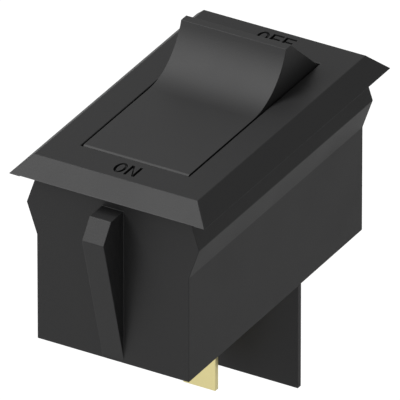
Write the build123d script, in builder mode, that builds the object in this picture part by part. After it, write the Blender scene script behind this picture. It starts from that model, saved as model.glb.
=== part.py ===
from build123d import *
import os
from math import asin, atan2, cos, degrees, hypot, radians, sin

# A snap-in rocker switch: one pole, ON and OFF, with two blade terminals.
# Millimetres. The origin is the centre of the bezel's underside, on the panel's face.
# X runs across the switch, Y along it towards its OFF end, and +Z out of the panel.
# The rocker lies in its ON position, with its front half flush with the bezel.

# Bezel
bezel_width = 18.0
bezel_length = 30.0
bezel_height = 1.5
bezel_bevel = 1.5
seat_width = 1.0
seat_relief = 0.05

# Body behind the panel
body_width = 14.0
body_length = 28.0
body_depth = 15.1
opening_width = 10.0
opening_length = 21.0
opening_chamfer = 0.05
chamber_length = 25.0
chamber_depth = 6.5
rim_wall = 1.0

# Grip ribs on the long sides and latches on the ends
rib_height = 0.94
rib_ridge_depth = 2.76
rib_foot_depth = 5.5
latch_width = 2.0
latch_reach = 3.15
latch_step = 1.21
latch_top_depth = 1.11
latch_peak_depth = 2.78
latch_foot_rise = 0.25

# Rocker
rocker_throw = 22.0
pivot_depth = 2.0
lip_front = 5.24
lip_width = 0.81
lip_height = 3.85
rocker_wall = 1.2
skirt_drop = 8.0
rocker_chamfer = 0.11
trunnion_radius = 1.25
trunnion_length = 1.28
lobe_radius = 2.2
post_radius = 1.9
post_reach = 3.0
post_root = 2.6
web_thickness = 1.0

# Plunger and its spring, measured from the pivot along the rocker's own axis
plunger_radius = 1.2
nose_radius = 0.9
nose_length = 1.57
nose_taper = 0.4
shoulder_reach = 0.6
stem_radius = 0.55
stem_length = 1.0
bore_ceiling = 1.7
wire_radius = 0.125
spring_radius = 0.9
spring_turns = 5

# Contact lever and the contacts
lever_tilt = 6.0
lever_height = 3.5
lever_thickness = 0.6
lever_width = 3.6
lever_front = 7.6
lever_rear = 8.1
lever_corner = 0.8
notch_depth = 0.8
contact_place = 6.9
contact_radius = 1.2
contact_rim = 0.35
contact_dome = 0.2
contact_head = 0.5
shank_radius = 0.6

# Terminals
blade_width = 3.0
blade_thickness = 0.5
blade_length = 9.5
head_width = 4.8
horn_rise = 0.9
shelf_width = 3.6
shelf_front = 5.5
load_place = 8.6
bend_radius = 0.3

# Base and the barrier between the terminals
base_thickness = 1.8
barrier_place = 3.8
barrier_thickness = 0.5
barrier_length = 9.55
tongue_width = 8.0
tongue_length = 1.2
pillar_width = 1.4
pillar_thickness = 1.0
pillar_place = 3.3
stop_thickness = 1.2
snap_length = 4.0
snap_place = 7.0
snap_reach = 0.2
snap_height = 0.8

# Clearances
end_gap = 0.2
side_gap = 0.15
running_gap = 0.05
slot_gap = 0.03
contact_gap = 0.02
pass_gap = 0.03

# Places that several pieces share
half_throw = rocker_throw / 2
rim_rise = bezel_height + pivot_depth
guide_radius = hypot(opening_length / 2, rim_rise)
rocker_radius = guide_radius - end_gap
rocker_half_width = opening_width / 2 - side_gap
cheek_inside = rocker_half_width - rocker_wall
bearing_radius = trunnion_radius + running_gap
groove_floor = rocker_half_width + trunnion_length + side_gap
bore_radius = plunger_radius + running_gap
base_top = base_thickness - body_depth
lever_depth = -base_top - lever_height
blade_tip = -body_depth - blade_length
pivot = Vector(0, 0, -pivot_depth)
lever_axis = Vector(0, 0, -lever_depth)
fulcrum_centre = -lever_depth - contact_gap - blade_thickness / 2


def rocker_plane():
    """The plane through the pivot whose normal is the rocker's own upward axis."""
    return Plane(pivot, x_dir=(1, 0, 0), z_dir=(0, -sin(radians(half_throw)), cos(radians(half_throw))))


def lever_plane():
    """The plane of the lever's underside, tilted down towards the closed contact."""
    return Plane(lever_axis, x_dir=(1, 0, 0), z_dir=(0, sin(radians(lever_tilt)), cos(radians(lever_tilt))))


def section_plane(plane, along=0.0):
    """An upright plane across another one, for the profile of something turned about its normal."""
    centre = plane.from_local_coords((0, along, 0))
    return Plane(centre, x_dir=plane.x_dir, z_dir=-plane.y_dir)


def on_end_arc(angle):
    """A point of the rocker's end face, by its angle above the pivot."""
    return (rocker_radius * cos(radians(angle)), rocker_radius * sin(radians(angle)) - pivot_depth)


def turned(point, angle):
    """Where a point of the rocker's section goes when the rocker turns towards OFF."""
    along, height = point[0], point[1] + pivot_depth
    turn = radians(angle)
    return (along * cos(turn) + height * sin(turn), height * cos(turn) - along * sin(turn) - pivot_depth)


# Housing: bezel, walls, grip ribs and latches are one moulding, cored out from below
with BuildPart() as housing:
    with BuildSketch(Plane.XY) as bezel_outline:
        Rectangle(bezel_width, bezel_length)
    extrude(amount=bezel_height, taper=degrees(atan2(bezel_bevel, bezel_height)))
    with BuildSketch(Plane.XY) as seat_recess:
        Rectangle(bezel_width - 2 * seat_width, bezel_length)
    extrude(amount=seat_relief, mode=Mode.SUBTRACT)
    with BuildSketch(Plane.XY.offset(seat_relief)) as body_outline:
        Rectangle(body_width, body_length)
    extrude(amount=-body_depth - seat_relief)

    with BuildSketch(Plane.XZ) as grip_ribs:
        with BuildLine():
            Polyline(
                (body_width / 2, 0),
                (body_width / 2 + rib_height, -rib_ridge_depth),
                (body_width / 2, -rib_foot_depth),
                close=True,
            )
        make_face()
        mirror(about=Plane.YZ)
    extrude(amount=body_length / 2, both=True)

    with BuildSketch(Plane.YZ) as end_latches:
        with BuildLine():
            Polyline(
                (body_length / 2, -latch_top_depth),
                (body_length / 2 + latch_reach - latch_step, -latch_top_depth),
                (body_length / 2 + latch_reach, -latch_peak_depth),
                (body_length / 2, latch_foot_rise - body_depth),
                close=True,
            )
        make_face()
        mirror(about=Plane.YZ)
    extrude(amount=latch_width / 2, both=True)

    with BuildSketch(Plane.YZ) as cavity:
        with Locations((0, -pivot_depth)):
            Circle(guide_radius)
        with Locations((0, bezel_height)):
            Rectangle(body_length, rim_rise, align=(Align.CENTER, Align.MAX), mode=Mode.INTERSECT)
        with Locations((0, -pivot_depth)):
            Rectangle(2 * guide_radius, body_depth - pivot_depth, align=(Align.CENTER, Align.MAX))
        with Locations((0, -chamber_depth)):
            Rectangle(chamber_length, body_depth - chamber_depth, align=(Align.CENTER, Align.MAX))
    extrude(amount=opening_width / 2, both=True, mode=Mode.SUBTRACT)

    with BuildSketch(Plane.YZ) as trunnion_grooves:
        with Locations((0, -pivot_depth)):
            Circle(bearing_radius)
            Rectangle(2 * bearing_radius, body_depth - pivot_depth, align=(Align.CENTER, Align.MAX))
    extrude(amount=groove_floor, both=True, mode=Mode.SUBTRACT)

    with BuildSketch(Plane.XY.offset(-body_depth)) as base_seat:
        Rectangle(body_width - 2 * rim_wall, body_length - 2 * rim_wall)
    extrude(amount=base_thickness, mode=Mode.SUBTRACT)
    with BuildSketch(Plane.XY.offset(base_top - snap_height / 2 + slot_gap)) as snap_pockets:
        with GridLocations(0, 2 * snap_place, 1, 2):
            Rectangle(body_width - 2 * rim_wall + 2 * snap_reach, snap_length + 2 * slot_gap)
    extrude(amount=-snap_height - 2 * slot_gap, mode=Mode.SUBTRACT)

    rim_edges = housing.faces().sort_by(Axis.Z)[-1].inner_wires()[0].edges()
    chamfer(rim_edges, opening_chamfer)
housing.part.label = "housing"

# Rocker: a thin paddle shell with a raised scoop, end skirts, trunnions and a plunger post
edge_angle = degrees(asin(rim_rise / rocker_radius))
edge_place = on_end_arc(edge_angle)[0]
with BuildPart() as rocker:
    with BuildSketch(Plane.YZ) as paddle:
        with BuildLine():
            flat = Line((-edge_place, bezel_height), (0, bezel_height))
            scoop = TangentArc(flat @ 1, (lip_front, bezel_height + lip_height), tangent=flat % 1)
            lip = Line(scoop @ 1, (lip_front + lip_width, bezel_height + lip_height))
            slope = Line(lip @ 1, on_end_arc(edge_angle))
            rear = ThreePointArc(slope @ 1, on_end_arc((edge_angle - skirt_drop) / 2), on_end_arc(-skirt_drop))
            foot = Line(rear @ 1, on_end_arc(180 + skirt_drop))
            ThreePointArc(foot @ 1, on_end_arc(180 - (edge_angle - skirt_drop) / 2), flat @ 0)
        make_face()
    extrude(amount=rocker_half_width, both=True)
    offset(amount=-rocker_wall, openings=rocker.faces().sort_by(Axis.Z)[0], kind=Kind.INTERSECTION)

    for side in (-1, 1):
        with BuildSketch(Plane.YZ.offset(side * cheek_inside)) as cheek_lobe:
            with Locations((0, -pivot_depth)):
                Circle(lobe_radius)
        extrude(amount=side * rocker_wall)
        with BuildSketch(Plane.YZ.offset(side * rocker_half_width)) as trunnion:
            with Locations((0, -pivot_depth)):
                Circle(trunnion_radius)
        extrude(amount=side * trunnion_length)

    with BuildSketch(Plane.YZ) as cross_web:
        with Locations((0, bezel_height - rocker_wall / 2)):
            Rectangle(web_thickness, rim_rise, align=(Align.CENTER, Align.MAX))
    extrude(amount=cheek_inside, both=True)
    with BuildSketch(rocker_plane().offset(-post_reach)) as plunger_post:
        Circle(post_radius)
    extrude(amount=post_reach + post_root)
    with BuildSketch(rocker_plane().offset(-post_reach)) as plunger_bore:
        Circle(bore_radius)
    extrude(amount=post_reach + bore_ceiling, mode=Mode.SUBTRACT)

    front_edge = rocker.edges().filter_by(Axis.X).sort_by_distance((0, -edge_place, bezel_height))[0]
    chamfer(front_edge, rocker_chamfer)
rocker.part.label = "rocker"

# Plunger: its rounded nose just clears the lever as it passes over the fulcrum
nose_reach = lever_depth - lever_thickness - pivot_depth - pass_gap
with BuildPart() as plunger:
    with BuildSketch(section_plane(rocker_plane())) as plunger_profile:
        with BuildLine():
            nose_start = nose_radius - nose_reach
            RadiusArc((0, -nose_reach), (nose_radius, nose_start), -nose_radius)
            Polyline(
                (nose_radius, nose_start),
                (nose_radius, nose_length - nose_reach),
                (plunger_radius, nose_length + nose_taper - nose_reach),
                (plunger_radius, -shoulder_reach),
                (stem_radius, -shoulder_reach),
                (stem_radius, stem_length - shoulder_reach),
                (0, stem_length - shoulder_reach),
                (0, -nose_reach),
            )
        make_face()
    revolve(axis=Axis(pivot, rocker_plane().z_dir))
plunger.part.label = "plunger"

# Spring: its ends are ground flat, to stand on the plunger's shoulder and against the bore's ceiling
spring_foot = rocker_plane().offset(contact_gap - shoulder_reach)
spring_length = bore_ceiling + shoulder_reach - 2 * contact_gap
with BuildPart() as plunger_spring:
    with BuildLine() as coil:
        Helix(
            pitch=spring_length / spring_turns,
            height=spring_length,
            radius=spring_radius,
            center=spring_foot.origin,
            direction=spring_foot.z_dir,
        )
    with BuildSketch(Plane(coil.line @ 0, z_dir=coil.line % 0)) as wire:
        Circle(wire_radius)
    sweep(path=coil.line, is_frenet=True)
    with BuildSketch(spring_foot) as ground_length:
        Circle(spring_radius + 2 * wire_radius)
    extrude(amount=spring_length, mode=Mode.INTERSECT)
plunger_spring.part.label = "plunger_spring"

# Contact lever: a stamped see-saw, notched where the horns of its terminal hold it
notch_length = blade_thickness + 2 * (lever_thickness * sin(radians(lever_tilt)) + running_gap)
with BuildPart() as contact_lever:
    with BuildSketch(lever_plane()) as blank:
        with Locations((0, (lever_rear - lever_front) / 2)):
            RectangleRounded(lever_width, lever_front + lever_rear, lever_corner)
        with GridLocations(lever_width, 0, 2, 1):
            Rectangle(2 * notch_depth, notch_length, mode=Mode.SUBTRACT)
        with Locations((0, contact_place)):
            Circle(shank_radius, mode=Mode.SUBTRACT)
    extrude(amount=lever_thickness)
contact_lever.part.label = "contact_lever"

# Moving contact: a domed rivet closed in the lever's rear arm
dome_radius = (contact_radius**2 + contact_dome**2) / (2 * contact_dome)
with BuildPart() as moving_contact:
    with BuildSketch(section_plane(lever_plane(), contact_place)) as rivet:
        with BuildLine():
            outline = Polyline(
                (0, -contact_rim - contact_dome),
                (0, lever_thickness),
                (shank_radius, lever_thickness),
                (shank_radius, 0),
                (contact_radius, 0),
                (contact_radius, -contact_rim),
            )
            RadiusArc(outline @ 1, outline @ 0, dome_radius)
        make_face()
    revolve(axis=Axis(section_plane(lever_plane(), contact_place).origin, lever_plane().z_dir))
moving_contact.part.label = "moving_contact"

# Fixed contact: a flat rivet whose face meets the lowest point of the moving dome
dome_centre = lever_plane().from_local_coords((0, contact_place, dome_radius - contact_rim - contact_dome))
contact_face = dome_centre.Z - dome_radius - contact_gap
shelf_top = contact_face - contact_head
with BuildPart() as fixed_contact:
    with BuildSketch(Plane.XY.offset(shelf_top)) as head:
        with Locations((0, contact_place)):
            Circle(contact_radius)
    extrude(amount=contact_head)
    with BuildSketch(Plane.XY.offset(shelf_top)) as shank:
        with Locations((0, contact_place)):
            Circle(shank_radius)
    extrude(amount=-blade_thickness)
fixed_contact.part.label = "fixed_contact"

# Common terminal: a blade whose inner end is the lever's fulcrum, between two horns
notch_width = lever_width - 2 * notch_depth + 2 * running_gap
horn_top = -lever_depth + horn_rise
with BuildPart() as common_terminal:
    with BuildSketch(Plane.XZ) as stamping:
        with Locations((0, base_top)):
            Rectangle(head_width, horn_top - base_top, align=(Align.CENTER, Align.MIN))
            Rectangle(blade_width, base_top - blade_tip, align=(Align.CENTER, Align.MAX))
        with Locations((0, horn_top)):
            Rectangle(
                notch_width,
                horn_top - fulcrum_centre,
                align=(Align.CENTER, Align.MAX),
                mode=Mode.SUBTRACT,
            )
    extrude(amount=blade_thickness / 2, both=True)
    with BuildSketch(Plane.YZ) as fulcrum:
        with Locations((0, fulcrum_centre)):
            Circle(blade_thickness / 2)
    extrude(amount=notch_width / 2, both=True)
common_terminal.part.label = "common_terminal"

# Load terminal: the same blade, folded over to a shelf that carries the fixed contact
load_back = load_place + blade_thickness / 2
load_front = load_place - blade_thickness / 2
with BuildPart() as load_terminal:
    with BuildSketch(Plane.YZ) as folded_strip:
        with Locations((load_back, shelf_top)):
            Rectangle(load_back - shelf_front, blade_thickness, align=(Align.MAX, Align.MAX))
            Rectangle(blade_thickness, shelf_top - base_top, align=(Align.MAX, Align.MAX))
        outer_corner = folded_strip.vertices().sort_by_distance((load_back, shelf_top))[0]
        fillet(outer_corner, bend_radius + blade_thickness)
        inner_corner = folded_strip.vertices().sort_by_distance((load_front, shelf_top - blade_thickness))[0]
        fillet(inner_corner, bend_radius)
    extrude(amount=shelf_width / 2, both=True)
    with BuildSketch(Plane.XY.offset(base_top)) as load_blade:
        with Locations((0, load_place)):
            Rectangle(blade_width, blade_thickness)
    extrude(amount=blade_tip - base_top)
    with BuildSketch(Plane.XY.offset(shelf_top)) as shank_hole:
        with Locations((0, contact_place)):
            Circle(shank_radius)
    extrude(amount=-blade_thickness, mode=Mode.SUBTRACT)
load_terminal.part.label = "load_terminal"

# Base: it closes the housing, keeps the trunnions up and carries both terminals and all stops
seat_half_width = body_width / 2 - rim_wall - slot_gap
seat_half_length = body_length / 2 - rim_wall - slot_gap
front_stop_top = on_end_arc(-skirt_drop)[1] - pass_gap
rear_corner = turned(on_end_arc(-skirt_drop), rocker_throw)
rear_stop_top = rear_corner[1] - pass_gap
lever_stop_top = -lever_depth - lever_front * sin(radians(lever_tilt)) - pass_gap
with BuildPart() as base:
    with BuildSketch(Plane.XY.offset(-body_depth)) as floor_plate:
        Rectangle(2 * seat_half_width, 2 * seat_half_length)
    extrude(amount=base_thickness)

    for side in (-1, 1):
        with BuildSketch(Plane.YZ.offset(side * opening_width / 2)) as trunnion_keeper:
            with Locations((0, -body_depth)):
                Rectangle(
                    2 * trunnion_radius,
                    body_depth - pivot_depth,
                    align=(Align.CENTER, Align.MIN),
                )
            with Locations((0, -pivot_depth)):
                Circle(bearing_radius, mode=Mode.SUBTRACT)
        extrude(amount=side * (groove_floor - slot_gap - opening_width / 2))
        for place in (-snap_place, snap_place):
            with BuildSketch(Plane.XZ.offset(-place - snap_length / 2)) as snap_barb:
                with BuildLine():
                    Polyline(
                        (side * seat_half_width, base_top - snap_height / 2),
                        (side * (seat_half_width + snap_reach), base_top - 3 * snap_height / 2),
                        (side * seat_half_width, base_top - 3 * snap_height / 2),
                        close=True,
                    )
                make_face()
            extrude(amount=snap_length)

    with BuildSketch(Plane.XY.offset(base_top)) as front_pillars:
        with Locations((0, -on_end_arc(-skirt_drop)[0])):
            with GridLocations(2 * pillar_place, 0, 2, 1):
                Rectangle(pillar_width, pillar_thickness, align=(Align.CENTER, Align.MIN))
    extrude(amount=front_stop_top - base_top)
    with BuildSketch(Plane.XY.offset(base_top)) as rear_pillars:
        with Locations((0, rear_corner[0])):
            with GridLocations(2 * pillar_place, 0, 2, 1):
                Rectangle(pillar_width, pillar_thickness, align=(Align.CENTER, Align.MAX))
    extrude(amount=rear_stop_top - base_top)
    with BuildSketch(Plane.XY.offset(base_top)) as lever_stop:
        with Locations((0, -lever_front)):
            Rectangle(lever_width, stop_thickness, align=(Align.CENTER, Align.MIN))
    extrude(amount=lever_stop_top - base_top)
    with BuildSketch(Plane.XY.offset(base_top)) as shelf_pad:
        with Locations((0, contact_place)):
            Rectangle(shelf_width, 2 * shank_radius)
    extrude(amount=shelf_top - blade_thickness - base_top)

    with BuildSketch(Plane.XY.offset(-body_depth)) as blade_slots:
        for place in (0, load_place):
            with Locations((0, place)):
                Rectangle(blade_width + 2 * slot_gap, blade_thickness + 2 * slot_gap)
    extrude(amount=base_thickness, mode=Mode.SUBTRACT)
    with BuildSketch(Plane.XY.offset(-body_depth)) as barrier_slot:
        with Locations((0, barrier_place)):
            Rectangle(tongue_width + 2 * slot_gap, barrier_thickness + 2 * slot_gap)
    extrude(amount=tongue_length + slot_gap, mode=Mode.SUBTRACT)
base.part.label = "base"

# Barrier: a sheet of insulation across the whole body, held by its tongue
with BuildPart() as terminal_barrier:
    with BuildSketch(Plane.XY.offset(-body_depth)) as barrier_sheet:
        with Locations((0, barrier_place)):
            Rectangle(body_width, barrier_thickness)
    extrude(amount=-barrier_length)
    with BuildSketch(Plane.XY.offset(-body_depth)) as barrier_tongue:
        with Locations((0, barrier_place)):
            Rectangle(tongue_width, barrier_thickness)
    extrude(amount=tongue_length)
terminal_barrier.part.label = "terminal_barrier"

pieces = (
    housing,
    rocker,
    plunger,
    plunger_spring,
    contact_lever,
    moving_contact,
    fixed_contact,
    common_terminal,
    load_terminal,
    base,
    terminal_barrier,
)
os.makedirs("parts", exist_ok=True)
for piece in pieces:
    export_step(piece.part, f"parts/{piece.part.label}.step")
    box = piece.part.bounding_box()
    print(piece.part.label, len(piece.part.solids()), round(piece.part.volume, 3), box.min, box.max)
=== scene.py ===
import math

import bmesh
import bpy
from mathutils import Matrix, Vector


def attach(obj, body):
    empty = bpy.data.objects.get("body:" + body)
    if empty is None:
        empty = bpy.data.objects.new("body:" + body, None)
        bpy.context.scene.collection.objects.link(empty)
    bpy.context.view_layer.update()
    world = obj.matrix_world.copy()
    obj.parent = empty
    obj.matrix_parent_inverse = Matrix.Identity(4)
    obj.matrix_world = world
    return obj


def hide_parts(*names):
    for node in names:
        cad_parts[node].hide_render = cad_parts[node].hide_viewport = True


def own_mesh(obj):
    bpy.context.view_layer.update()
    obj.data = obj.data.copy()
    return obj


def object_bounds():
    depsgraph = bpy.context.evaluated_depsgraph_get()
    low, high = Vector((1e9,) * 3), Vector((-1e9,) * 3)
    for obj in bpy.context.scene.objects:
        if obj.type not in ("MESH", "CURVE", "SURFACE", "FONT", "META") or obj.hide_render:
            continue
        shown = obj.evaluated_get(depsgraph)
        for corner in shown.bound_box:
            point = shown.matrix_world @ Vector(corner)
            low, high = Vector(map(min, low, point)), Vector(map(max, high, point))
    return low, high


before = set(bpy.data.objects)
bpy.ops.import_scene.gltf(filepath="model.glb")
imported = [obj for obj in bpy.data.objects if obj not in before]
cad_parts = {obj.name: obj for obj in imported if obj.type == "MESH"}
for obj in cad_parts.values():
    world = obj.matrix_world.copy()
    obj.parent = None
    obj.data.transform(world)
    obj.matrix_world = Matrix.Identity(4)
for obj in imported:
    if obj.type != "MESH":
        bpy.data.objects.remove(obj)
cad_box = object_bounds()

# Snap-in rocker light switch: each CAD piece gets its rounded corners and its finish here, and the
# housing its ON and OFF. Everything is in metres, with millimetres written through this factor
MM = 0.001

# Photograph: a long view from 30 degrees to the right and 30 degrees above
VIEW_AZIMUTH = math.radians(30)
VIEW_ELEVATION = math.radians(30)
VIEW_WIDTH = 31.99 * MM
VIEW_LOWERING = 6.35 * MM
VIEW_SHIFT = -0.06 * MM
LENS = 1500
SENSOR = 36
CLIP_SHARES = (0.1, 10)

# Lettering cut into the bezel, each letter in a box of one size, drawn with one stroke
BEZEL_TOP = 1.5 * MM
LETTER_WIDTH = 1.0 * MM
LETTER_HEIGHT = 1.6 * MM
LETTER_PITCH = 1.15 * MM
LETTER_STROKE = 0.25 * MM
LETTER_SEGMENTS = 48
ARM_DROP = 0.62 * MM
ARM_LENGTH = 0.92 * MM
DIAGONAL_RISE = 1.4 * LETTER_STROKE
LETTER_DEPTH = 0.25 * MM
LETTER_FLOOR = BEZEL_TOP - LETTER_DEPTH
LETTER_ZONE = (10.8 * MM, 13.2 * MM)
WORD_REACH = 2 * LETTER_PITCH
ON_MIDDLE = (0.14 * MM, -11.97 * MM)
OFF_MIDDLE = (-0.08 * MM, 12.1 * MM)

# Rounding that a mould or a blanking die leaves on the edges, and the chamfer round the opening
MOULDED_EDGE = 0.06 * MM
ROCKER_EDGE = 0.03 * MM
STRIP_EDGE = 0.05 * MM
SHEET_EDGE = 0.03 * MM
ROUNDING_SEGMENTS = 3
RIM_CHAMFER = 0.05 * MM
# Least upward part of the normal on that chamfer
RIM_SLOPE = 0.5

# How near points lie that are one: of the CAD's triangles, and where a rounding ends
WELD_DISTANCE = 0.002 * MM
SEAM_DISTANCE = 0.0002 * MM
# How far a height may be off and still be the one that is looked for
HEIGHT_TOLERANCE = 0.005 * MM
# Greatest turn within a flat face
FLAT_ANGLE = math.radians(0.2)
# Least turn that is a corner: between two flat faces, a flat and a curved one, and two curved ones
CORNER_TURNS = (math.radians(3), math.radians(18), math.radians(40))
# How much more a large face counts than a small one in the normals along its edges
FLAT_WEIGHT = 100

# Studio: one long softbox over the switch's left and front, and even light from all round
SOFTBOX_TOWARD = (-0.433, -0.42, 0.80)
SOFTBOX_DISTANCE = 1.0
SOFTBOX_WIDTH = 0.35
SOFTBOX_LENGTH = 1.5
SOFTBOX_RADIANCE = 11.0
SURROUND_LIGHT = 0.12
SURROUND_MIRRORED = 0.6
FLOOR_DROP = 30 * MM
FLOOR_RADIUS = 4.0
FLOOR_SEGMENTS = 64
FLOOR_COLOUR = (0.8, 0.8, 0.8, 1.0)
FLOOR_GLOW = 1.25
GLOW_SHARE = 0.5

# Surface finishes: how fine the slow mottle and tarnish are, the wear on an edge, and the rolling lines
MOTTLES_PER_METRE = 240.0
TARNISH_PER_METRE = 350.0
WORN_EDGE = 0.12 * MM
WEAR_GAIN = 6.0
WEAR_SAMPLES = 6
LINE_STRETCH = 0.04
MOULD_GLOSS_SPREAD = 0.03
STRIP_GLOSS_SPREAD = 0.08

# Places of the Mix node's sockets when it mixes colours
MIX_MASK = 0
MIX_LOW = 6
MIX_HIGH = 7
MIX_COLOUR = 2


def view_axes():
    """The photograph's right, up and backward directions."""
    sin_a, cos_a = math.sin(VIEW_AZIMUTH), math.cos(VIEW_AZIMUTH)
    sin_e, cos_e = math.sin(VIEW_ELEVATION), math.cos(VIEW_ELEVATION)
    right = Vector((cos_a, sin_a, 0))
    back = Vector((sin_a * cos_e, -cos_a * cos_e, sin_e))
    return right, back.cross(right), back


def add_camera():
    """A long lens, so that the view is all but free of perspective, as the photograph is."""
    right, up, back = view_axes()
    data = bpy.data.cameras.new("camera")
    data.lens = LENS
    data.sensor_width = SENSOR
    distance = VIEW_WIDTH * LENS / SENSOR
    data.clip_start, data.clip_end = (share * distance for share in CLIP_SHARES)
    camera = bpy.data.objects.new("camera", data)
    bpy.context.scene.collection.objects.link(camera)
    aim = VIEW_SHIFT * right - VIEW_LOWERING * up
    turn = Matrix((right, up, back)).transposed().to_4x4()
    camera.matrix_world = Matrix.Translation(aim + distance * back) @ turn
    bpy.context.scene.camera = camera


def new_tree(material):
    """An emptied node tree of a material, with its output node."""
    material.use_nodes = True
    nodes = material.node_tree.nodes
    nodes.clear()
    output = nodes.new("ShaderNodeOutputMaterial")
    return nodes, material.node_tree.links, output


def add_group(name, inputs, outputs):
    """An empty shader node group with named value sockets."""
    group = bpy.data.node_groups.new(name, "ShaderNodeTree")
    for label, default in inputs:
        socket = group.interface.new_socket(label, in_out="INPUT", socket_type="NodeSocketFloat")
        socket.default_value = default
    for label in outputs:
        group.interface.new_socket(label, in_out="OUTPUT", socket_type="NodeSocketFloat")
    start = group.nodes.new("NodeGroupInput")
    end = group.nodes.new("NodeGroupOutput")
    return group, start, end


def feed(links, socket, value):
    """Gives a socket a number or a colour, or links another socket to it."""
    if isinstance(value, bpy.types.NodeSocket):
        links.new(value, socket)
    else:
        socket.default_value = value


def math_node(nodes, links, operation, first, second, clamp=False):
    """A Math node whose two inputs are sockets or numbers."""
    node = nodes.new("ShaderNodeMath")
    node.operation = operation
    node.use_clamp = clamp
    feed(links, node.inputs[0], first)
    feed(links, node.inputs[1], second)
    return node.outputs["Value"]


def noise(nodes, links, vector, scale, detail, roughness):
    """A Noise Texture on a given vector, whose scale is a number or a socket."""
    node = nodes.new("ShaderNodeTexNoise")
    links.new(vector, node.inputs["Vector"])
    feed(links, node.inputs["Scale"], scale)
    node.inputs["Detail"].default_value = detail
    node.inputs["Roughness"].default_value = roughness
    return node.outputs["Fac"]


def mould_texture_group():
    """Spark-eroded mould finish: a fine even grain, and the slow mottle of the flow behind it."""
    group, start, end = add_group("mould texture", [("Grains per metre", 6000.0)], ["Grain", "Mottle"])
    nodes, links = group.nodes, group.links
    place = nodes.new("ShaderNodeTexCoord").outputs["Object"]
    fine = noise(nodes, links, place, start.outputs["Grains per metre"], detail=3.0, roughness=0.6)
    slow = noise(nodes, links, place, MOTTLES_PER_METRE, detail=2.0, roughness=0.5)
    links.new(fine, end.inputs["Grain"])
    links.new(slow, end.inputs["Mottle"])
    return group


def edge_wear_group():
    """A mask that is 1 on the outer edges, broken up where handling has not reached."""
    group, start, end = add_group("edge wear", [("Breakup per metre", 900.0)], ["Mask"])
    nodes, links = group.nodes, group.links
    bevel = nodes.new("ShaderNodeBevel")
    bevel.samples = WEAR_SAMPLES
    bevel.inputs["Radius"].default_value = WORN_EDGE
    geometry = nodes.new("ShaderNodeNewGeometry")
    dot = nodes.new("ShaderNodeVectorMath")
    dot.operation = "DOT_PRODUCT"
    links.new(bevel.outputs["Normal"], dot.inputs[0])
    links.new(geometry.outputs["Normal"], dot.inputs[1])
    turned = math_node(nodes, links, "SUBTRACT", 1.0, dot.outputs["Value"], clamp=True)
    strong = math_node(nodes, links, "MULTIPLY", turned, WEAR_GAIN, clamp=True)
    place = nodes.new("ShaderNodeTexCoord").outputs["Object"]
    broken = noise(nodes, links, place, start.outputs["Breakup per metre"], detail=3.0, roughness=0.6)
    links.new(math_node(nodes, links, "MULTIPLY", strong, broken, clamp=True), end.inputs["Mask"])
    return group


def strip_grain_group():
    """Rolling lines along a metal strip, as height, and its uneven tarnish."""
    group, start, end = add_group("strip grain", [("Lines per metre", 9000.0)], ["Lines", "Tarnish"])
    nodes, links = group.nodes, group.links
    place = nodes.new("ShaderNodeTexCoord").outputs["Object"]
    mapping = nodes.new("ShaderNodeMapping")
    mapping.inputs["Scale"].default_value = (1.0, 1.0, LINE_STRETCH)
    links.new(place, mapping.inputs["Vector"])
    along = mapping.outputs["Vector"]
    lines = noise(nodes, links, along, start.outputs["Lines per metre"], detail=2.0, roughness=0.6)
    tarnish = noise(nodes, links, place, TARNISH_PER_METRE, detail=3.0, roughness=0.55)
    links.new(lines, end.inputs["Lines"])
    links.new(tarnish, end.inputs["Tarnish"])
    return group


def place_group(nodes, group, value=None):
    """One use of a shader node group, with its one input set."""
    node = nodes.new("ShaderNodeGroup")
    node.node_tree = group
    if value is not None:
        node.inputs[0].default_value = value
    return node


def mix_colours(nodes, links, mask, low, high):
    """A colour that goes from low to high, each a colour or a socket, as the mask goes from 0 to 1."""
    mix = nodes.new("ShaderNodeMix")
    mix.data_type = "RGBA"
    links.new(mask, mix.inputs[MIX_MASK])
    feed(links, mix.inputs[MIX_LOW], low)
    feed(links, mix.inputs[MIX_HIGH], high)
    return mix.outputs[MIX_COLOUR]


def spread(nodes, links, mask, low, high):
    """A value that goes from low to high as the mask goes from 0 to 1."""
    node = nodes.new("ShaderNodeMapRange")
    node.inputs["To Min"].default_value = low
    node.inputs["To Max"].default_value = high
    links.new(mask, node.inputs["Value"])
    return node.outputs["Result"]


def bump(nodes, links, height, distance):
    """The normal that a height gives, which is a distance where it is 1."""
    node = nodes.new("ShaderNodeBump")
    node.inputs["Distance"].default_value = distance
    links.new(height, node.inputs["Height"])
    return node.outputs["Normal"]


def plastic(name, dark, light, worn, roughness, specular, grains, relief):
    """Black moulded plastic: grain in its normal, mottle in its colour and gloss, paler worn edges."""
    material = bpy.data.materials.new(name)
    nodes, links, output = new_tree(material)
    shader = nodes.new("ShaderNodeBsdfPrincipled")
    texture = place_group(nodes, MOULD_TEXTURE, grains)
    wear = place_group(nodes, EDGE_WEAR)
    body = mix_colours(nodes, links, texture.outputs["Mottle"], (*dark, 1.0), (*light, 1.0))
    colour = mix_colours(nodes, links, wear.outputs["Mask"], body, (*worn, 1.0))
    links.new(colour, shader.inputs["Base Color"])
    dull, bright = roughness + MOULD_GLOSS_SPREAD, roughness - MOULD_GLOSS_SPREAD
    gloss = spread(nodes, links, texture.outputs["Mottle"], bright, dull)
    links.new(gloss, shader.inputs["Roughness"])
    links.new(bump(nodes, links, texture.outputs["Grain"], relief), shader.inputs["Normal"])
    shader.inputs["Specular IOR Level"].default_value = specular
    links.new(shader.outputs["BSDF"], output.inputs["Surface"])
    return material


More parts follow.
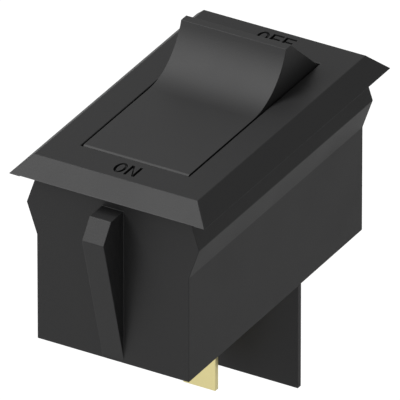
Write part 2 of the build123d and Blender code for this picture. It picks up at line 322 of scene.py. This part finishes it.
def strip_metal(name, clean, tarnished, roughness, lines, relief):
    """Metal rolled into strip: lines along it, and a slow change of tarnish."""
    material = bpy.data.materials.new(name)
    nodes, links, output = new_tree(material)
    shader = nodes.new("ShaderNodeBsdfPrincipled")
    grain = place_group(nodes, STRIP_GRAIN, lines)
    colour = mix_colours(nodes, links, grain.outputs["Tarnish"], (*clean, 1.0), (*tarnished, 1.0))
    links.new(colour, shader.inputs["Base Color"])
    dull, bright = roughness + STRIP_GLOSS_SPREAD, roughness - STRIP_GLOSS_SPREAD
    gloss = spread(nodes, links, grain.outputs["Lines"], bright, dull)
    links.new(gloss, shader.inputs["Roughness"])
    links.new(bump(nodes, links, grain.outputs["Lines"], relief), shader.inputs["Normal"])
    shader.inputs["Metallic"].default_value = 1.0
    links.new(shader.outputs["BSDF"], output.inputs["Surface"])
    return material


def satin_nylon():
    """The housing's glass-filled nylon, matt from its spark-eroded mould."""
    return plastic(
        "satin black nylon", dark=(0.006, 0.006, 0.0062), light=(0.0085, 0.0085, 0.0088),
        worn=(0.03, 0.03, 0.031), roughness=0.56, specular=0.33, grains=7000, relief=0.012 * MM
    )


def painted_recess_shade():
    """Painted shade for the floors and walls of the lettering: a near-black with little sheen that
    stands in for the shade falling into the sunk letters.
    """
    return plastic(
        "painted recess shade", dark=(0.002, 0.002, 0.002), light=(0.003, 0.003, 0.003),
        worn=(0.003, 0.003, 0.003), roughness=0.7, specular=0.1, grains=7000, relief=0.012 * MM
    )


def rocker_nylon():
    """The rocker's nylon, a finer grain that fingers have begun to smooth."""
    return plastic(
        "rocker nylon", dark=(0.010, 0.010, 0.0102), light=(0.013, 0.013, 0.0133),
        worn=(0.026, 0.026, 0.0265), roughness=0.58, specular=0.35, grains=8500, relief=0.008 * MM
    )


def base_phenolic():
    """The base's thermoset, brown-black and coarser than nylon."""
    return plastic(
        "base phenolic", dark=(0.010, 0.009, 0.0085), light=(0.016, 0.014, 0.013),
        worn=(0.05, 0.048, 0.046), roughness=0.55, specular=0.25, grains=4500, relief=0.016 * MM
    )


def barrier_sheet():
    """The barrier's rolled insulating sheet."""
    return plastic(
        "barrier sheet", dark=(0.009, 0.009, 0.0095), light=(0.013, 0.013, 0.0135),
        worn=(0.04, 0.04, 0.04), roughness=0.5, specular=0.25, grains=9000, relief=0.006 * MM
    )


def white_acetal():
    """The plunger's smooth acetal."""
    return plastic(
        "white acetal", dark=(0.78, 0.78, 0.74), light=(0.82, 0.82, 0.78),
        worn=(0.85, 0.85, 0.82), roughness=0.3, specular=0.5, grains=8000, relief=0.001 * MM
    )


def blanked_brass():
    """The terminals' brass, rolled along the blades."""
    return strip_metal(
        "blanked brass", clean=(0.75, 0.665, 0.333), tarnished=(0.68, 0.605, 0.297),
        roughness=0.36, lines=9000, relief=0.0015 * MM
    )


def lever_copper():
    """The see-saw lever's spring copper."""
    return strip_metal(
        "lever copper", clean=(0.80, 0.46, 0.30), tarnished=(0.66, 0.36, 0.23),
        roughness=0.33, lines=9000, relief=0.001 * MM
    )


def contact_silver():
    """The rivets' silver alloy, burnished where they meet."""
    return strip_metal(
        "contact silver", clean=(0.86, 0.86, 0.84), tarnished=(0.70, 0.69, 0.66),
        roughness=0.25, lines=12000, relief=0.001 * MM
    )


def spring_wire():
    """The coil's drawn steel wire."""
    return strip_metal(
        "spring wire", clean=(0.58, 0.59, 0.61), tarnished=(0.48, 0.49, 0.51),
        roughness=0.28, lines=12000, relief=0.001 * MM
    )


def merged_copy(node):
    """The outline of a CAD node as one joined mesh, with its flat faces whole."""
    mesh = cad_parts[node].data.copy()
    if "custom_normal" in mesh.attributes:
        mesh.attributes.remove(mesh.attributes["custom_normal"])
    form = bmesh.new()
    form.from_mesh(mesh)
    bpy.data.meshes.remove(mesh)
    bmesh.ops.remove_doubles(form, verts=form.verts, dist=WELD_DISTANCE)
    bmesh.ops.dissolve_limit(
        form, angle_limit=FLAT_ANGLE, use_dissolve_boundaries=False, verts=form.verts, edges=form.edges
    )
    return form


def is_corner(edge):
    """Whether an edge is a true corner of the form, and not a line between the facets of a curve."""
    if len(edge.link_faces) != 2:
        return True
    curved = sum(face.smooth for face in edge.link_faces)
    return edge.calc_face_angle(0.0) > CORNER_TURNS[curved]


def is_low(face, width):
    """Whether a flat face is too low to be rounded along both of its long edges."""
    longest = max(face.edges, key=lambda edge: edge.calc_length())
    along = (longest.verts[1].co - longest.verts[0].co).normalized()
    across = [vert.co.dot(along.cross(face.normal)) for vert in face.verts]
    return not face.smooth and max(across) - min(across) < 2 * width


def round_corners(form, width, crisp=(), outer_only=False):
    """Rounds the corners of a form, apart from the crisp edges and those of faces too low for it."""
    low = set(edge for face in form.faces if is_low(face, width) for edge in face.edges)
    corners = set(edge for edge in form.edges if is_corner(edge))
    rounded = corners - low - set(crisp)
    if outer_only:
        rounded = set(edge for edge in rounded if edge.is_convex)
    for edge in form.edges:
        edge.smooth = edge in rounded or edge not in corners
    bmesh.ops.bevel(
        form, geom=[edge for edge in form.edges if edge in rounded], offset=width, offset_type="OFFSET",
        segments=ROUNDING_SEGMENTS, profile=0.5, affect="EDGES", clamp_overlap=False, material=-1
    )
    bmesh.ops.remove_doubles(form, verts=form.verts, dist=SEAM_DISTANCE)
    for face in form.faces:
        face.smooth = True


def add_object(form, name, *materials):
    """A mesh object at the origin from a form."""
    mesh = bpy.data.meshes.new(name)
    form.to_mesh(mesh)
    form.free()
    mesh.materials.clear()
    for material in materials:
        mesh.materials.append(material)
    piece = bpy.data.objects.new(name, mesh)
    bpy.context.scene.collection.objects.link(piece)
    return piece


def flatten_faces(piece):
    """Keeps flat faces flat to the light beside their rounded corners."""
    modifier = piece.modifiers.new("flat faces", "WEIGHTED_NORMAL")
    modifier.keep_sharp = True
    modifier.weight = FLAT_WEIGHT


def letter_outline(letter):
    """The corners of an F or an N in its box, from its lower left."""
    wide, high, stroke = LETTER_WIDTH, LETTER_HEIGHT, LETTER_STROKE
    arm = high - ARM_DROP
    rise = DIAGONAL_RISE
    outlines = {
        "F": [(0, 0), (stroke, 0), (stroke, arm - stroke), (ARM_LENGTH, arm - stroke), (ARM_LENGTH, arm),
              (stroke, arm), (stroke, high - stroke), (wide, high - stroke), (wide, high), (0, high)],
        "N": [(0, 0), (stroke, 0), (stroke, high - rise), (wide - stroke, 0), (wide, 0),
              (wide, high), (wide - stroke, high), (wide - stroke, rise), (stroke, high), (0, high)],
    }
    return outlines[letter]


def letter_face(form, letter):
    """The flat face or faces of one letter, standing on the X axis with its left edge at the origin."""
    if letter != "O":
        corners = [form.verts.new((x, y, 0)) for x, y in letter_outline(letter)]
        return [form.faces.new(corners)]
    edges = []
    for inset in (0, LETTER_STROKE):
        ring = bmesh.ops.create_circle(form, segments=LETTER_SEGMENTS, radius=1)["verts"]
        size = (LETTER_WIDTH / 2 - inset, LETTER_HEIGHT / 2 - inset, 1)
        bmesh.ops.scale(form, verts=ring, vec=size)
        bmesh.ops.translate(form, verts=ring, vec=(LETTER_WIDTH / 2, LETTER_HEIGHT / 2, 0))
        edges += set(edge for vert in ring for edge in vert.link_edges)
    return bmesh.ops.bridge_loops(form, edges=edges)["faces"]


def word_cutter(word, middle):
    """Closed blocks in the shape of a word's letters, standing through the bezel's face."""
    form = bmesh.new()
    length = LETTER_PITCH * (len(word) - 1) + LETTER_WIDTH
    for place, letter in enumerate(word):
        faces = letter_face(form, letter)
        sunk = bmesh.ops.extrude_face_region(form, geom=faces)["geom"]
        lower = [item for item in sunk if isinstance(item, bmesh.types.BMVert)]
        bmesh.ops.translate(form, verts=lower, vec=(0, 0, -2 * LETTER_DEPTH))
        whole = set(vert for face in faces for vert in face.verts) | set(lower)
        bmesh.ops.translate(form, verts=list(whole), vec=(place * LETTER_PITCH, 0, 0))
    corner = (middle[0] - length / 2, middle[1] - LETTER_HEIGHT / 2, BEZEL_TOP + LETTER_DEPTH)
    bmesh.ops.translate(form, verts=form.verts, vec=corner)
    bmesh.ops.recalc_face_normals(form, faces=form.faces)
    return add_object(form, word + " cutter")


def cut_word(form, word, middle):
    """The form with a word cut out of its face."""
    piece = add_object(form, "uncut " + word)
    cutter = word_cutter(word, middle)
    modifier = piece.modifiers.new(word, "BOOLEAN")
    modifier.operation = "DIFFERENCE"
    modifier.solver = "EXACT"
    modifier.object = cutter
    graph = bpy.context.evaluated_depsgraph_get()
    mesh = bpy.data.meshes.new_from_object(piece.evaluated_get(graph))
    cut = bmesh.new()
    cut.from_mesh(mesh)
    bpy.data.meshes.remove(mesh)
    bpy.data.objects.remove(piece)
    bpy.data.objects.remove(cutter)
    return cut


def recess_faces(form):
    """The floors and walls of the lettering."""
    found = []
    for face in form.faces:
        middle = face.calc_center_median()
        sunk = LETTER_FLOOR - HEIGHT_TOLERANCE < middle.z < BEZEL_TOP - HEIGHT_TOLERANCE
        in_word = abs(middle.x) < WORD_REACH and LETTER_ZONE[0] < abs(middle.y) < LETTER_ZONE[1]
        if sunk and in_word:
            found.append(face)
    return found


def rim_edges(form):
    """The edges of the small chamfer round the rocker's opening, and those that run into it."""
    found = set()
    for face in form.faces:
        depth = BEZEL_TOP - min(vert.co.z for vert in face.verts)
        if face.normal.z > RIM_SLOPE and abs(depth - RIM_CHAMFER) < HEIGHT_TOLERANCE:
            found |= set(edge for vert in face.verts for edge in vert.link_edges)
    return found


def make_housing():
    """The one-piece moulding: bezel, walls, ribs and latches, with ON and OFF sunk into its face."""
    form = cut_word(merged_copy("housing"), "ON", ON_MIDDLE)
    form = cut_word(form, "OFF", OFF_MIDDLE)
    crisp = rim_edges(form)
    # The lettering's floors and walls take the second slot, a near-black that paints the shade in the
    # sunk letters
    for face in recess_faces(form):
        face.material_index = 1
        crisp |= set(face.edges)
    round_corners(form, MOULDED_EDGE, crisp)
    piece = add_object(form, "housing_moulding", satin_nylon(), painted_recess_shade())
    flatten_faces(piece)
    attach(piece, "body")
    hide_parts("housing")


def make_like(node, name, material, width, body, outer_only=False):
    """A rigid piece that keeps the outline of its CAD node, with its corners rounded."""
    form = merged_copy(node)
    round_corners(form, width, outer_only=outer_only)
    piece = add_object(form, name, material)
    flatten_faces(piece)
    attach(piece, body)
    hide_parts(node)


def make_rocker():
    """The scooped paddle, crisp from its mould."""
    make_like("rocker", "rocker_paddle", rocker_nylon(), ROCKER_EDGE, "rocker")


def make_terminals():
    """The two blades, with the burr of the blanking die rounded off their outer corners."""
    brass = blanked_brass()
    for node, name in (("common_terminal", "common_blade"), ("load_terminal", "load_blade")):
        make_like(node, name, brass, STRIP_EDGE, "body", outer_only=True)


def make_barrier():
    """The insulating sheet between the blades."""
    make_like("terminal_barrier", "barrier_card", barrier_sheet(), SHEET_EDGE, "body")


def make_base():
    """The moulding that closes the housing from below."""
    make_like("base", "base_moulding", base_phenolic(), MOULDED_EDGE, "body")


def make_lever():
    """The stamped see-saw under the plunger's nose."""
    make_like("contact_lever", "see_saw_lever", lever_copper(), SHEET_EDGE, "lever")


def make_spring():
    """The plunger's spring on the rocker's body, its wire shaded smooth and its corners kept sharp."""
    form = merged_copy("plunger_spring")
    for edge in form.edges:
        edge.smooth = not is_corner(edge)
    for face in form.faces:
        face.smooth = True
    piece = add_object(form, "nose_spring", spring_wire())
    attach(piece, "rocker")
    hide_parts("plunger_spring")
    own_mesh(piece)


def make_contacts():
    """The two silver rivets that meet when the switch is on, with their upset rims rounded."""
    silver = contact_silver()
    make_like("moving_contact", "domed_rivet", silver, SHEET_EDGE, "lever")
    make_like("fixed_contact", "flat_rivet", silver, SHEET_EDGE, "body")


def make_plunger():
    """The nose that the rocker slides over the lever."""
    make_like("plunger", "plunger_nose", white_acetal(), SHEET_EDGE, "plunger")


def add_softbox():
    """A long soft light that faces the switch, lying along it."""
    data = bpy.data.lights.new("strip softbox", "AREA")
    data.shape = "RECTANGLE"
    data.size = SOFTBOX_WIDTH
    data.size_y = SOFTBOX_LENGTH
    data.energy = SOFTBOX_RADIANCE * math.pi * SOFTBOX_WIDTH * SOFTBOX_LENGTH
    lamp = bpy.data.objects.new("strip softbox", data)
    bpy.context.scene.collection.objects.link(lamp)
    toward = Vector(SOFTBOX_TOWARD).normalized()
    along = toward.cross(Vector((1, 0, 0))).normalized()
    turn = Matrix((along.cross(toward), along, toward)).transposed().to_4x4()
    lamp.matrix_world = Matrix.Translation(SOFTBOX_DISTANCE * toward) @ turn


def add_surround():
    """Even light from all round, and a white ground wherever it is seen or mirrored."""
    world = bpy.data.worlds.new("studio")
    bpy.context.scene.world = world
    world.use_nodes = True
    nodes, links = world.node_tree.nodes, world.node_tree.links
    nodes.clear()
    output = nodes.new("ShaderNodeOutputWorld")
    background = nodes.new("ShaderNodeBackground")
    background.inputs["Color"].default_value = (1.0, 1.0, 1.0, 1.0)
    path = nodes.new("ShaderNodeLightPath")
    mirrored, through = path.outputs["Is Glossy Ray"], path.outputs["Is Transmission Ray"]
    shiny = math_node(nodes, links, "MAXIMUM", mirrored, through)
    shiny = math_node(nodes, links, "MULTIPLY", shiny, SURROUND_MIRRORED)
    shown = math_node(nodes, links, "MAXIMUM", path.outputs["Is Camera Ray"], shiny)
    links.new(math_node(nodes, links, "MAXIMUM", shown, SURROUND_LIGHT), background.inputs["Strength"])
    links.new(background.outputs["Background"], output.inputs["Surface"])


def mix_shaders(nodes, links, mask, first, second):
    """A shader that goes from the first to the second as the mask goes from 0 to 1."""
    mix = nodes.new("ShaderNodeMixShader")
    links.new(mask, mix.inputs[0])
    links.new(first, mix.inputs[1])
    links.new(second, mix.inputs[2])
    return mix.outputs["Shader"]


def studio_white():
    """The floor's finish: white to the camera with its shadow kept, and clear from underneath."""
    material = bpy.data.materials.new("studio white")
    nodes, links, output = new_tree(material)
    diffuse = nodes.new("ShaderNodeBsdfDiffuse")
    diffuse.inputs["Color"].default_value = FLOOR_COLOUR
    glow = nodes.new("ShaderNodeEmission")
    glow.inputs["Strength"].default_value = FLOOR_GLOW
    clear = nodes.new("ShaderNodeBsdfTransparent")
    seen = nodes.new("ShaderNodeLightPath").outputs["Is Camera Ray"]
    under = nodes.new("ShaderNodeNewGeometry").outputs["Backfacing"]
    share = math_node(nodes, links, "MULTIPLY", seen, GLOW_SHARE)
    pale = mix_shaders(nodes, links, share, diffuse.outputs["BSDF"], glow.outputs["Emission"])
    sided = mix_shaders(nodes, links, under, pale, clear.outputs["BSDF"])
    links.new(sided, output.inputs["Surface"])
    return material


def add_floor():
    """A plain floor well below the switch, which keeps its shadow."""
    low, _ = cad_box
    form = bmesh.new()
    bmesh.ops.create_circle(form, cap_ends=True, segments=FLOOR_SEGMENTS, radius=FLOOR_RADIUS)
    bmesh.ops.translate(form, verts=form.verts, vec=(0, 0, low.z - FLOOR_DROP))
    floor = add_object(form, "floor", studio_white())


MOULD_TEXTURE = mould_texture_group()
EDGE_WEAR = edge_wear_group()
STRIP_GRAIN = strip_grain_group()

bpy.context.scene.view_settings.view_transform = "Standard"
add_camera()
make_housing()
make_rocker()
make_terminals()
make_barrier()
make_base()
make_lever()
make_spring()
make_contacts()
make_plunger()
add_floor()
add_surround()
add_softbox()
